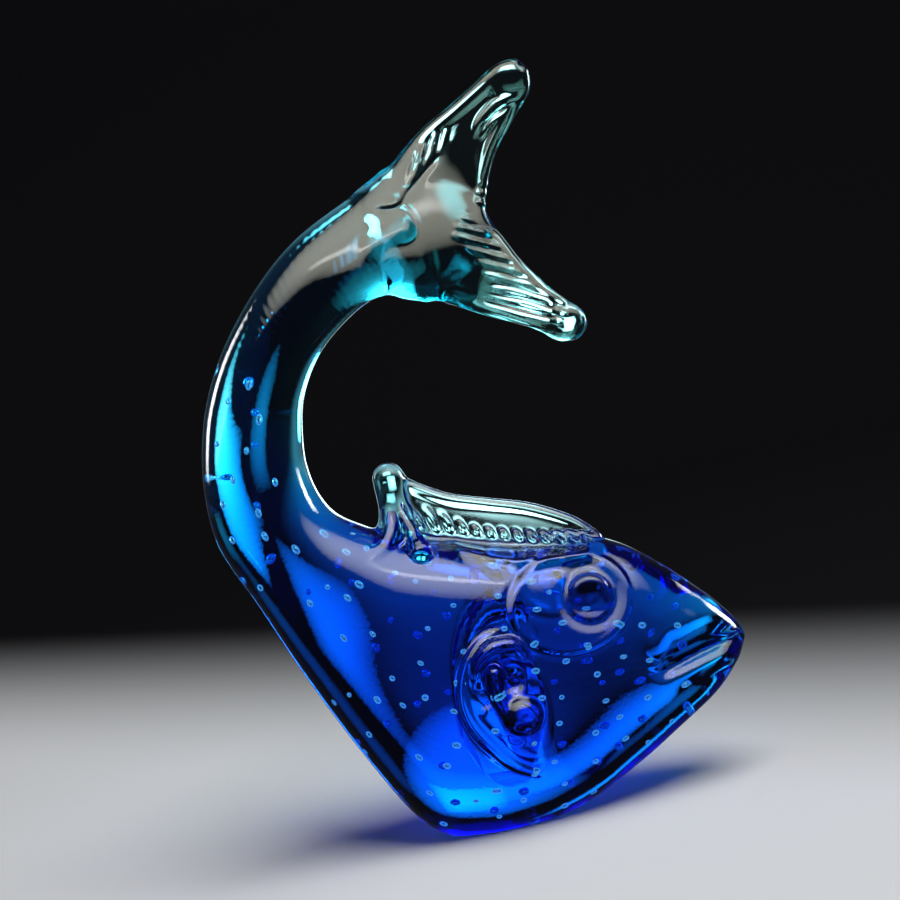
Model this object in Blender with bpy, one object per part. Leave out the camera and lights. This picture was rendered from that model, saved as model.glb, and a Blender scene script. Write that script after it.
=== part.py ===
"""Solid art-glass fish that stands on a small ground flat, its tail curled high over its back.

The fish is built the way it is made at the furnace. A first gather, pricked in a spiked mould, is the core.
A second gather cases it and traps air in the pricks. Hot bits laid on it become the fins and the eyes.

Frame: origin in the middle of the ground flat, +Z up, +X toward the snout, Y across the fish.
Tables give places on the fish in millimetres; every other length is in metres.
"""

import math

import bmesh
import bpy
from mathutils import Vector

MM = 0.001

# Casing: each station is (back edge (x, z), belly edge (x, z), half thickness), from snout to tail root.
BODY_STATIONS = (
    ((69.2, 38.0), (69.9, 34.6), 2.0),
    ((66.2, 42.8), (66.0, 28.5), 6.0),
    ((60.8, 49.0), (58.5, 21.2), 10.0),
    ((51.9, 58.0), (44.5, 12.8), 14.0),
    ((42.9, 65.5), (31.0, 5.5), 17.0),
    ((33.5, 69.5), (20.0, 0.4), 18.7),
    ((22.0, 71.0), (7.0, -2.8), 19.6),
    ((9.5, 73.3), (-7.5, -2.8), 20.0),
    ((-3.0, 76.6), (-21.2, 2.6), 19.6),
    ((-14.5, 80.5), (-33.0, 22.0), 18.6),
    ((-22.7, 85.0), (-44.0, 47.5), 17.0),
    ((-28.5, 89.5), (-53.0, 71.0), 15.3),
    ((-31.8, 96.0), (-59.5, 88.5), 13.9),
    ((-33.0, 104.0), (-60.0, 104.0), 13.0),
    ((-32.0, 112.5), (-57.0, 117.5), 12.5),
    ((-29.5, 121.0), (-52.2, 128.5), 12.2),
    ((-24.0, 129.8), (-45.0, 140.0), 12.0),
    ((-16.7, 136.3), (-35.0, 151.0), 12.0),
    ((-7.6, 141.3), (-22.5, 160.8), 11.4),
    ((1.0, 141.8), (-8.5, 167.5), 9.8),
    ((6.6, 139.5), (2.3, 171.4), 7.8),
)
BODY_RINGS = 48
BODY_SIDES = 28
ROUNDNESS = 2.35
FLANK_STEPS = 400
SHARP_ANGLE = 50.0
ROD_END = ((0.6, 0.8), (0.9, 0.35))
GROUND_BLOCK = 0.2

# Each fin blade runs over stations of the same kind.
DORSAL_STATIONS = (
    ((37.5, 70.2), (36.0, 65.0), 1.0),
    ((31.5, 75.6), (30.0, 64.0), 2.1),
    ((21.0, 81.3), (21.0, 65.5), 2.4),
    ((11.0, 84.8), (11.0, 68.0), 2.5),
    ((1.0, 88.3), (1.0, 71.0), 2.6),
    ((-6.5, 92.6), (-7.0, 73.0), 3.0),
    ((-12.0, 96.5), (-13.0, 75.0), 3.4),
)
UPPER_LOBE_STATIONS = (
    ((6.6, 139.7), (2.3, 171.2), 7.7),
    ((19.0, 146.0), (8.5, 176.8), 6.0),
    ((26.6, 160.5), (15.5, 181.8), 4.2),
    ((31.6, 170.8), (23.0, 185.6), 3.3),
    ((37.2, 178.0), (30.5, 189.8), 3.0),
    ((43.0, 184.2), (36.4, 193.2), 3.3),
    ((44.8, 189.0), (40.6, 194.2), 2.8),
    ((44.6, 191.0), (42.6, 193.4), 1.4),
)
LOWER_LOBE_STATIONS = (
    ((8.6, 138.8), (6.4, 165.0), 6.9),
    ((13.0, 136.2), (15.5, 164.5), 5.8),
    ((20.5, 132.0), (26.0, 155.0), 4.2),
    ((28.0, 128.3), (31.4, 144.0), 3.3),
    ((33.6, 124.9), (37.3, 135.6), 3.0),
    ((37.4, 121.4), (42.8, 129.6), 3.3),
    ((40.6, 120.9), (44.7, 126.4), 2.8),
    ((42.4, 121.9), (44.4, 124.4), 1.4),
)
BLADE_RINGS = 18
BLADE_SIDES = 14

# The tail leans, its upper lobe to the left and its lower lobe to the right; the lean grows along the stem.
LEAN_SLOPE = 0.30
LEAN_REACH = 20.0
LEAN_LEVEL = 151.0
LEAN_ALONG = (-46.0, 2.0)
LEAN_FLOOR = (112.0, 126.0)

# Core
CORE_DEPTH = 4.2
CORE_ENDS = (2.7, 18.6)
CORE_RINGS = 40
CORE_SIDES = 20
CORE_END_SHARE = 1 / 9
CORE_END_LEAST = 0.2
PRICK_DEPTH = 1.2
NECK_RADII = (9.0, 5.5)
NECK_TOP = 0.012
NECK_SIDES = 24

# Fit between neighbouring pieces; the cavity is drawn a little wider, as its faces are chords of the curve
FIT_GAP = 0.0003
CAVITY_GAP = 0.00036

# Head details
EYE_PLACE = (31.2, 56.4)
EYE_RADII = (0.0080, 0.0046, 0.0080)
EYE_DROP = -0.0052
EYE_SIDES = 24
BOWL_PLACE = (27.8, 56.2)
BOWL_RADII = (0.0180, 0.0060, 0.0142)
BOWL_DEPTH = 0.0022
BOWL_SIDES = 28
NORMAL_STEP = 3.0
MOUTH_PLACES = ((45.5, 35.3), (57.0, 36.3), (68.0, 37.3))
MOUTH_POINTS = 14
MOUTH_SIDES = 20
MOUTH_RADII = (0.0012, 0.0030)
MOUTH_LIFT = 0.0011

# Horn at the back end of the dorsal fin, with a leg down each flank
HORN_TIP = (-12.9, 95.4)
HORN_ROOT = (-13.5, 79.0)
HORN_TIP_RADIUS = 0.0043
HORN_ROOT_RADIUS = 0.0062
HORN_WAIST_SHARE = 0.6
HORN_WAIST_RADIUS = 0.0041
HORN_LEG_END = (-9.3, 75.5)
HORN_LEG_SINK = -0.001
HORN_LEG_RADII = (0.0024, 0.0024, 0.0036)
HORN_KNEE_SHARE = 0.55
HORN_KNEE_BULGE = 0.0018

# Pectoral fin: a rim that curls from FIN_RIM's first angle to its last about the fin's middle
FIN_PLACE = (4.2, 37.5)
FIN_RADII = (10.2, 15.5)
FIN_RIM_ANGLES = (75.0, 285.0)
FIN_RIM_POINTS = 22
FIN_RIM_RADIUS = 0.0019
FIN_RIM_TAPER = 0.55
FIN_RIM_LIFT = 0.0006
FIN_PAD_THICKNESS = 0.0046
FIN_PAD_SINK = -0.0014
FIN_RIDGE = ((3.6, 49.0), (4.6, 34.0))
FIN_RIDGE_RADII = (0.0031, 0.0024)
FIN_RIDGE_LIFT = 0.0012
FIN_CURL_PLACE = (9.2, 32.6)
FIN_CURL_RADII = (0.0050, 0.0040, 0.0050)
FIN_CURL_LIFT = 0.0008

# Glass colours (red, green, blue)
DEEP_BLUE = (0.004, 0.045, 0.62)
PALE_AQUA = (0.45, 0.80, 0.88)
CASING_BLUE = (0.010, 0.160, 0.80)


def clear_scene():
    for old in list(bpy.data.objects):
        bpy.data.objects.remove(old, do_unlink=True)


def new_collection(name):
    collection = bpy.data.collections.new(name)
    bpy.context.scene.collection.children.link(collection)
    return collection


def glass(name, colour):
    material = bpy.data.materials.new(name)
    material.use_nodes = True
    shader = material.node_tree.nodes["Principled BSDF"]
    shader.inputs["Base Color"].default_value = (*colour, 1.0)
    shader.inputs["Roughness"].default_value = 0.03
    shader.inputs["Metallic"].default_value = 0.0
    shader.inputs["IOR"].default_value = 1.5
    shader.inputs["Transmission Weight"].default_value = 0.6
    return material


def between(stations, place):
    """The station at a fractional place in a table, on a smooth curve through all of them."""
    last = len(stations) - 1
    index = min(int(place), last - 1)
    t = place - index

    def smooth(pick):
        before = pick(stations[max(index - 1, 0)])
        start = pick(stations[index])
        end = pick(stations[index + 1])
        after = pick(stations[min(index + 2, last)])
        curve = 2 * start + (end - before) * t
        curve += (2 * before - 5 * start + 4 * end - after) * t**2
        curve += (3 * start - before - 3 * end + after) * t**3
        return curve / 2

    back = (smooth(lambda s: s[0][0]), smooth(lambda s: s[0][1]))
    belly = (smooth(lambda s: s[1][0]), smooth(lambda s: s[1][1]))
    return back, belly, smooth(lambda s: s[2])


def rounded(value):
    """A sine or cosine bent so that a section is a little squarer than an ellipse."""
    return math.copysign(abs(value) ** (2 / ROUNDNESS), value)


def eased(value, limits):
    """Rises smoothly from 0 at the first limit to 1 at the second."""
    start, end = limits
    t = min(max((value - start) / (end - start), 0.0), 1.0)
    return t * t * (3 - 2 * t)


def leaned(point):
    """A point of the stem or the tail, in millimetres, moved across by the tail's lean."""
    x, y, z = point
    share = eased(x, LEAN_ALONG) * eased(z, LEAN_FLOOR)
    shift = LEAN_SLOPE * LEAN_REACH * share * math.tanh((z - LEAN_LEVEL) / LEAN_REACH)
    return x, y + shift, z


def section_point(station, angle, inset=0.0, size=1.0):
    """A point round one section, in millimetres: angle 0 is the back edge, and inset shrinks the section."""
    back, belly, half_thickness = station
    middle_x = (back[0] + belly[0]) / 2
    middle_z = (back[1] + belly[1]) / 2
    half_x = (back[0] - belly[0]) / 2
    half_z = (back[1] - belly[1]) / 2
    height = math.hypot(half_x, half_z)
    along = rounded(math.cos(angle)) * (1 - inset / height) * size
    across = rounded(math.sin(angle)) * (half_thickness - inset) * size
    return middle_x + half_x * along, across, middle_z + half_z * along


def mesh_object(name, mesh, collection, material=None):
    made = bpy.data.objects.new(name, mesh)
    collection.objects.link(made)
    if material:
        mesh.materials.append(material)
    return made


def loft(name, rings, collection, material=None):
    """A closed skin over rings of equal count, with a flat cap at each end."""
    mesh = bpy.data.meshes.new(name)
    shape = bmesh.new()
    rows = []
    for ring in rings:
        rows.append([shape.verts.new(Vector(point) * MM) for point in ring])
    for row, following in zip(rows, rows[1:]):
        for side in range(len(row)):
            beside = (side + 1) % len(row)
            shape.faces.new((row[side], row[beside], following[beside], following[side]))
    shape.faces.new(list(reversed(rows[0])))
    shape.faces.new(rows[-1])
    shape.normal_update()
    bmesh.ops.recalc_face_normals(shape, faces=shape.faces)
    shape.to_mesh(mesh)
    shape.free()
    mesh.shade_smooth()
    mesh.set_sharp_from_angle(angle=math.radians(SHARP_ANGLE))
    return mesh_object(name, mesh, collection, material)


def casing_rings(inset=0.0):
    """The outer skin of the fish, before the tools pressed it."""
    rings = []
    for number in range(BODY_RINGS):
        station = between(BODY_STATIONS, number * (len(BODY_STATIONS) - 1) / (BODY_RINGS - 1))
        angles = [math.tau * side / BODY_SIDES for side in range(BODY_SIDES)]
        rings.append([leaned(section_point(station, angle, inset)) for angle in angles])
    return rings


def core_rings(inset, pricked):
    """The first gather: the body's sections drawn in by inset, closing to a round end at head and tail."""
    rings = []
    start, end = CORE_ENDS
    for number in range(CORE_RINGS):
        along = number / (CORE_RINGS - 1)
        from_end = min(min(along, 1 - along) / CORE_END_SHARE, 1.0)
        size = max(math.sqrt(1 - (1 - from_end) ** 2), CORE_END_LEAST)
        station = between(BODY_STATIONS, start + (end - start) * along)
        ring = []
        for side in range(CORE_SIDES):
            on_lattice = number % 2 == 0 and side % 4 == number % 4
            deep = PRICK_DEPTH if pricked and on_lattice and from_end == 1.0 else 0.0
            angle = math.tau * side / CORE_SIDES
            ring.append(leaned(section_point(station, angle, inset + deep, size)))
        rings.append(ring)
    return rings


def blade_rings(stations):
    """A fin blade over its stations, with rounded edges."""
    rings = []
    for number in range(BLADE_RINGS):
        station = between(stations, number * (len(stations) - 1) / (BLADE_RINGS - 1))
        angles = [math.tau * side / BLADE_SIDES for side in range(BLADE_SIDES)]
        rings.append([leaned(section_point(station, angle)) for angle in angles])
    return rings


def flank(x, z):
    """Half the fish's thickness at a place on its side view, in millimetres."""
    nearest = None
    for step in range(FLANK_STEPS + 1):
        place = step * (len(BODY_STATIONS) - 1) / FLANK_STEPS
        back, belly, half_thickness = between(BODY_STATIONS, place)
        line = Vector((back[0] - belly[0], back[1] - belly[1]))
        offset = Vector((x - (back[0] + belly[0]) / 2, z - (back[1] + belly[1]) / 2))
        along = 2 * offset.dot(line) / line.length_squared
        miss = abs(line.x * offset.y - line.y * offset.x) / line.length
        if abs(along) < 1 and (nearest is None or miss < nearest[0]):
            nearest = (miss, half_thickness * (1 - abs(along) ** ROUNDNESS) ** (1 / ROUNDNESS))
    return nearest[1]


def on_flank(x, z, side, lift=0.0):
    """A place on one side of the fish, in metres, lifted off its skin."""
    return Vector((x * MM, side * (flank(x, z) * MM + lift), z * MM))


def ball(name, place, radii, collection, material=None, sides=16, facing=(0, 1, 0)):
    """A sphere or ellipsoid; its middle radius lies along facing."""
    across = Vector((0, math.copysign(1, facing[1]), 0))
    turn = across.rotation_difference(Vector(facing))
    mesh = bpy.data.meshes.new(name)
    shape = bmesh.new()
    bmesh.ops.create_uvsphere(shape, u_segments=sides, v_segments=sides // 2 + 2, radius=1.0)
    for vertex in shape.verts:
        x, y, z = vertex.co
        vertex.co = turn @ Vector((x * radii[0], -z * radii[1], y * radii[2])) + Vector(place)
    shape.to_mesh(mesh)
    shape.free()
    mesh.shade_smooth()
    return mesh_object(name, mesh, collection, material)


def rod(name, points, radii, collection, sides=10):
    """A tapered rod through the points, with round ends."""
    path = [Vector(point) for point in points]
    rings = []
    for index, point in enumerate(path):
        ahead = path[min(index + 1, len(path) - 1)]
        behind = path[max(index - 1, 0)]
        direction = (ahead - behind).normalized()
        side_way = direction.cross(Vector((0, 1, 0))).normalized()
        other_way = direction.cross(side_way)
        ends = [(0.0, 1.0)]
        if index == 0:
            ends = [(-shift, size) for shift, size in reversed(ROD_END)] + ends
        elif index == len(path) - 1:
            ends.extend(ROD_END)
        for shift, size in ends:
            centre = point + direction * shift * radii[index]
            ring = []
            for side in range(sides):
                angle = math.tau * side / sides
                reach = side_way * math.cos(angle) + other_way * math.sin(angle)
                ring.append((centre + reach * radii[index] * size) / MM)
            rings.append(ring)
    return loft(name, rings, collection)


def cut(target, cutter):
    change(target, cutter, "DIFFERENCE")


def join(target, other):
    change(target, other, "UNION")


def change(target, other, operation):
    boolean = target.modifiers.new(f"{operation.lower()} {other.name}", "BOOLEAN")
    boolean.operation = operation
    boolean.solver = "EXACT"
    boolean.object = other
    other.hide_render = True
    other.display_type = "WIRE"


def below_ground(helpers):
    """A block that takes away everything under the ground flat."""
    mesh = bpy.data.meshes.new("ground_cutter")
    shape = bmesh.new()
    bmesh.ops.create_cube(shape, size=GROUND_BLOCK)
    bmesh.ops.translate(shape, vec=(0, 0, -GROUND_BLOCK / 2), verts=shape.verts)
    shape.to_mesh(mesh)
    shape.free()
    return mesh_object("ground_cutter", mesh, helpers)


def neck(name, grow, helpers):
    """The stub that joined the first gather to the iron, seen end-on in the ground flat."""
    mesh = bpy.data.meshes.new(name)
    shape = bmesh.new()
    height = NECK_TOP * 2
    bmesh.ops.create_cone(
        shape, cap_ends=True, segments=NECK_SIDES, radius1=1.0, radius2=1.0, depth=height
    )
    for vertex in shape.verts:
        vertex.co.x *= NECK_RADII[0] * MM + grow
        vertex.co.y *= NECK_RADII[1] * MM + grow
    shape.to_mesh(mesh)
    shape.free()
    return mesh_object(name, mesh, helpers)


def make_core(parts, helpers, ground):
    core = loft("body_core", core_rings(CORE_DEPTH, True), parts, glass("core_glass", DEEP_BLUE))
    join(core, neck("core_neck", 0.0, helpers))
    cut(core, ground)
    return core


def flank_normal(x, z, side):
    """The direction square to the skin on one side of the fish."""
    slope_x = (flank(x + NORMAL_STEP, z) - flank(x - NORMAL_STEP, z)) / (2 * NORMAL_STEP)
    slope_z = (flank(x, z + NORMAL_STEP) - flank(x, z - NORMAL_STEP)) / (2 * NORMAL_STEP)
    return Vector((-slope_x, side, -slope_z)).normalized()


def mouth_cutter(side, helpers):
    """A spindle bent along the cheek, from the corner of the mouth to the nose, that presses the mouth."""
    corner, middle, tip = [on_flank(x, z, side) for x, z in MOUTH_PLACES]
    lift = flank_normal(*MOUTH_PLACES[1], side) * MOUTH_LIFT
    thin, thick = MOUTH_RADII
    points = []
    radii = []
    for number in range(MOUTH_POINTS):
        t = number / (MOUTH_POINTS - 1)
        bend = corner * (1 - t) * (1 - 2 * t) + middle * 4 * t * (1 - t) + tip * t * (2 * t - 1)
        points.append(bend + lift)
        radii.append(thin + (thick - thin) * math.sin(math.pi * t))
    name = f"mouth_cutter_{'left' if side > 0 else 'right'}"
    return rod(name, points, radii, helpers, sides=MOUTH_SIDES)


def bowl_cutter(side, shrink, helpers):
    """A flattened ball that presses the bowl round one eye."""
    facing = flank_normal(*BOWL_PLACE, side)
    place = on_flank(*BOWL_PLACE, side) + facing * (BOWL_RADII[1] - BOWL_DEPTH)
    radii = [radius - shrink for radius in BOWL_RADII]
    label = "casing" if shrink == 0 else "outline"
    name = f"{label}_bowl_{'left' if side > 0 else 'right'}"
    return ball(name, place, radii, helpers, sides=BOWL_SIDES, facing=facing)


def make_outline(helpers):
    """The casing's skin grown by the fit, which shapes the underside of every bit laid on it."""
    outline = loft("casing_outline", casing_rings(-FIT_GAP / MM), helpers)
    for side in (1, -1):
        cut(outline, bowl_cutter(side, FIT_GAP, helpers))
    return outline


def make_casing(parts, helpers, ground):
    casing = loft("body_casing", casing_rings(), parts, glass("casing_glass", CASING_BLUE))
    cavity = loft("core_cavity", core_rings(CORE_DEPTH - CAVITY_GAP / MM, False), helpers)
    join(cavity, neck("neck_cavity", FIT_GAP, helpers))
    cut(casing, cavity)
    cut(casing, ground)
    for side in (1, -1):
        cut(casing, mouth_cutter(side, helpers))
        cut(casing, bowl_cutter(side, 0.0, helpers))
    return casing


def make_tail_fin(parts, helpers):
    """The tail bit: two lobes pinched out flat from one root that butts against the body's end."""
    upper = blade_rings(UPPER_LOBE_STATIONS)
    back, belly, _ = UPPER_LOBE_STATIONS[0]
    seat = Vector((belly[0] - back[0], belly[1] - back[1])).normalized()
    away = Vector((seat.y, -seat.x)) * FIT_GAP / MM
    shifted = [[(x + away.x, y, z + away.y) for x, y, z in ring] for ring in upper]
    tail = loft("tail_fin", shifted, parts, glass("tail_glass", PALE_AQUA))
    join(tail, loft("lower_lobe", blade_rings(LOWER_LOBE_STATIONS), helpers))
    return tail


def make_dorsal_fin(parts, helpers, outline):
    fin = loft("dorsal_fin", blade_rings(DORSAL_STATIONS), parts, glass("fin_glass", PALE_AQUA))
    root = Vector((HORN_ROOT[0], 0, HORN_ROOT[1])) * MM
    tip = Vector((HORN_TIP[0], 0, HORN_TIP[1])) * MM
    waist = root.lerp(tip, HORN_WAIST_SHARE)
    radii = (HORN_ROOT_RADIUS, HORN_WAIST_RADIUS, HORN_TIP_RADIUS)
    join(fin, rod("horn", (root, waist, tip), radii, helpers, sides=16))
    for side in (1, -1):
        foot = on_flank(*HORN_LEG_END, side, HORN_LEG_SINK)
        knee = waist.lerp(foot, HORN_KNEE_SHARE) + Vector((0, side * HORN_KNEE_BULGE, 0))
        join(fin, rod(f"horn_leg_{side}", (waist, knee, foot), HORN_LEG_RADII, helpers))
    cut(fin, outline)
    return fin


def make_eye(side, parts, outline):
    """A bead that sits in the bowl."""
    name = "eye_left" if side > 0 else "eye_right"
    facing = flank_normal(*EYE_PLACE, side)
    place = on_flank(*EYE_PLACE, side) + facing * EYE_DROP
    material = glass(f"{name}_glass", DEEP_BLUE)
    eye = ball(name, place, EYE_RADII, parts, material, sides=EYE_SIDES, facing=facing)
    cut(eye, outline)
    return eye


def make_pectoral_fin(side, parts, helpers, outline):
    """An ear-shaped bit laid on the flank: a pad, a curled rim, a ridge and a round curl."""
    name = "pectoral_fin_left" if side > 0 else "pectoral_fin_right"
    middle_x, middle_z = FIN_PLACE
    radius_x, radius_z = FIN_RADII
    pad_radii = (radius_x * MM, FIN_PAD_THICKNESS, radius_z * MM)
    pad_place = on_flank(middle_x, middle_z, side, FIN_PAD_SINK)
    fin = ball(name, pad_place, pad_radii, parts, glass(f"{name}_glass", CASING_BLUE), sides=20)
    first, last = FIN_RIM_ANGLES
    rim = []
    for number in range(FIN_RIM_POINTS):
        angle = math.radians(first + (last - first) * number / (FIN_RIM_POINTS - 1))
        x = middle_x + radius_x * math.cos(angle)
        z = middle_z + radius_z * math.sin(angle)
        rim.append(on_flank(x, z, side, FIN_RIM_LIFT))
    rim_radii = []
    for number in range(FIN_RIM_POINTS):
        fullness = math.sin(math.pi * number / (FIN_RIM_POINTS - 1))
        rim_radii.append(FIN_RIM_RADIUS * (FIN_RIM_TAPER + (1 - FIN_RIM_TAPER) * fullness))
    join(fin, rod(f"{name}_rim", rim, rim_radii, helpers))
    ridge = [on_flank(x, z, side, FIN_RIDGE_LIFT) for x, z in FIN_RIDGE]
    join(fin, rod(f"{name}_ridge", ridge, FIN_RIDGE_RADII, helpers))
    curl_place = on_flank(*FIN_CURL_PLACE, side, FIN_CURL_LIFT)
    join(fin, ball(f"{name}_curl", curl_place, FIN_CURL_RADII, helpers))
    cut(fin, outline)
    return fin


def build():
    clear_scene()
    parts = new_collection("glass_fish")
    helpers = new_collection("cutters")
    ground = below_ground(helpers)
    outline = make_outline(helpers)
    make_core(parts, helpers, ground)
    make_casing(parts, helpers, ground)
    make_tail_fin(parts, helpers)
    make_dorsal_fin(parts, helpers, outline)
    for side in (1, -1):
        make_eye(side, parts, outline)
        make_pectoral_fin(side, parts, helpers, outline)


build()
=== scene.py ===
"""Looks of the art-glass fish: its hot-worked glass pieces, the blue core inside and the trapped air.

The pieces are sculpted on a grid of distances to the glass surface. Lofts and rods over the CAD's stations
give the first shape, and tool marks are pressed into it by formula. The finished skin is then parted where
the glassmaker fused one bit to another, so every piece is closed and light passes straight through a seam.
Tables and sculpting lengths are in millimetres, in the frame's axes; Blender gets metres.
"""

import math

import bmesh
import bpy
import numpy as np
import openvdb as vdb
from mathutils import Matrix, Vector


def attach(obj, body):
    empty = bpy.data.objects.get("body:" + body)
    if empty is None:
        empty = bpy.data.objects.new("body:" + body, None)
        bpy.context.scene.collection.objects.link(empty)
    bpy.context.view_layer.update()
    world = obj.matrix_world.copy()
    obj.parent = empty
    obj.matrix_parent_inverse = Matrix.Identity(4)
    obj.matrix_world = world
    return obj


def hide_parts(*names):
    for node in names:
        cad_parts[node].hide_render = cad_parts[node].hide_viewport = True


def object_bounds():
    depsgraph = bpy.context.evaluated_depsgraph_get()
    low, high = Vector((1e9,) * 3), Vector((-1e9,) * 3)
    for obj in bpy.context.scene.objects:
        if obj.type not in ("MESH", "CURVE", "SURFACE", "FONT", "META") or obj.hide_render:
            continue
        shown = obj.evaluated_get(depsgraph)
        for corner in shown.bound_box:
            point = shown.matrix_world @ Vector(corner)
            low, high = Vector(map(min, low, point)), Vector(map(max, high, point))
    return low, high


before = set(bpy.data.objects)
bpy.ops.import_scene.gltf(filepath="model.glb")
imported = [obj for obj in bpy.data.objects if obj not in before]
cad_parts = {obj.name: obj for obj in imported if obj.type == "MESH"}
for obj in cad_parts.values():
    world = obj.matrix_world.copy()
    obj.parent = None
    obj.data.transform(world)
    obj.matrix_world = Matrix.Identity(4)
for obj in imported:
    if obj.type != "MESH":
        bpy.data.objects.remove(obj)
CAD_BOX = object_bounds()

MM = 0.001
VOXEL = 0.5
BAND = 5.0

# Stations, as in the CAD: (back edge (x, z), belly edge (x, z), half thickness)
BODY_STATIONS = (
    ((69.2, 38.0), (69.9, 34.6), 2.0),
    ((66.2, 42.8), (66.0, 28.5), 6.0),
    ((60.8, 49.0), (58.5, 21.2), 10.0),
    ((51.9, 58.0), (44.5, 12.8), 14.0),
    ((42.9, 65.5), (31.0, 5.5), 17.0),
    ((33.5, 69.5), (20.0, 0.4), 18.7),
    ((22.0, 71.0), (7.0, -2.8), 19.6),
    ((9.5, 73.3), (-7.5, -2.8), 20.0),
    ((-3.0, 76.6), (-21.2, 2.6), 19.6),
    ((-14.5, 80.5), (-33.0, 22.0), 18.6),
    ((-22.7, 85.0), (-44.0, 47.5), 17.0),
    ((-28.5, 89.5), (-53.0, 71.0), 15.3),
    ((-31.8, 96.0), (-59.5, 88.5), 13.9),
    ((-33.0, 104.0), (-60.0, 104.0), 13.0),
    ((-32.0, 112.5), (-57.0, 117.5), 12.5),
    ((-29.5, 121.0), (-52.2, 128.5), 12.2),
    ((-24.0, 129.8), (-45.0, 140.0), 12.0),
    ((-16.7, 136.3), (-35.0, 151.0), 12.0),
    ((-7.6, 141.3), (-22.5, 160.8), 11.2),
    ((1.0, 141.8), (-8.5, 167.5), 9.0),
    ((6.6, 139.5), (2.3, 171.4), 6.0),
)
UPPER_LOBE_STATIONS = (
    ((3.0, 142.0), (-3.0, 168.5), 7.6),
    ((19.0, 146.0), (8.5, 176.8), 5.0),
    ((26.6, 160.5), (15.5, 181.8), 2.7),
    ((31.6, 170.8), (23.0, 185.6), 1.7),
    ((37.2, 178.0), (30.5, 189.8), 1.5),
    ((43.0, 184.2), (36.4, 193.2), 2.6),
    ((44.6, 189.0), (40.6, 194.0), 2.6),
)
LOWER_LOBE_STATIONS = (
    ((1.0, 141.8), (0.0, 166.0), 7.6),
    ((13.0, 136.2), (15.5, 164.5), 5.0),
    ((20.5, 132.0), (26.0, 155.0), 2.8),
    ((28.0, 128.3), (31.4, 144.0), 1.9),
    ((33.6, 124.9), (37.3, 135.6), 1.8),
    ((37.4, 121.4), (42.8, 129.6), 2.7),
    ((40.6, 121.0), (44.5, 126.4), 2.6),
)
DORSAL_STATIONS = (
    ((37.5, 70.2), (36.0, 65.0), 0.9),
    ((31.5, 75.6), (30.0, 64.0), 1.3),
    ((21.0, 81.3), (21.0, 65.5), 1.5),
    ((11.0, 84.8), (11.0, 68.0), 1.6),
    ((1.0, 88.3), (1.0, 71.0), 1.7),
    ((-6.5, 92.6), (-7.0, 73.0), 2.2),
    ((-12.0, 96.5), (-13.0, 75.0), 3.0),
)
SECTION_ROUNDNESS = 2.35


def smooth_rows(table, places):
    """Rows on a smooth curve through the rows of a table, at places counted in rows from its start."""
    last = len(table) - 1
    index = np.minimum(places.astype(int), last - 1)
    t = (places - index)[:, None]
    before, a = table[np.maximum(index - 1, 0)], table[index]
    b, after = table[index + 1], table[np.minimum(index + 2, last)]
    bend = 2 * before - 5 * a + 4 * b - after
    twist = 3 * a - before - 3 * b + after
    return (2 * a + (b - before) * t + bend * t**2 + twist * t**3) / 2


def curve(points, count):
    """Points at even steps on a smooth curve through a few."""
    return smooth_rows(np.array(points, float), np.linspace(0, len(points) - 1, count))


def spline(stations, count, start=0.0, end=None):
    """Back edges, belly edges and half thicknesses at even steps on a smooth curve through the stations."""
    table = np.array([(*back, *belly, half) for back, belly, half in stations])
    values = smooth_rows(table, np.linspace(start, len(table) - 1 if end is None else end, count))
    return values[:, 0:2], values[:, 2:4], values[:, 4]


def sections(stations, rings, sides, inset=0.0, size=None, start=0.0, end=None):
    """Points (ring, side, xyz) of squarish-elliptical sections across the fish."""
    back, belly, half = spline(stations, rings, start, end)
    size = np.ones(rings) if size is None else size
    angle = np.linspace(0, math.tau, sides, endpoint=False)
    power = 2 / SECTION_ROUNDNESS
    up = np.sign(np.cos(angle)) * np.abs(np.cos(angle)) ** power
    out = np.sign(np.sin(angle)) * np.abs(np.sin(angle)) ** power
    middle, reach = (back + belly) / 2, (back - belly) / 2
    height = np.linalg.norm(reach, axis=1)
    scale = (size * (1 - inset / height))[:, None, None]
    flat = middle[:, None, :] + reach[:, None, :] * up[None, :, None] * scale
    across = ((half - inset) * size)[:, None] * out[None, :]
    return np.stack([flat[..., 0], across, flat[..., 1]], axis=2)


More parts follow.
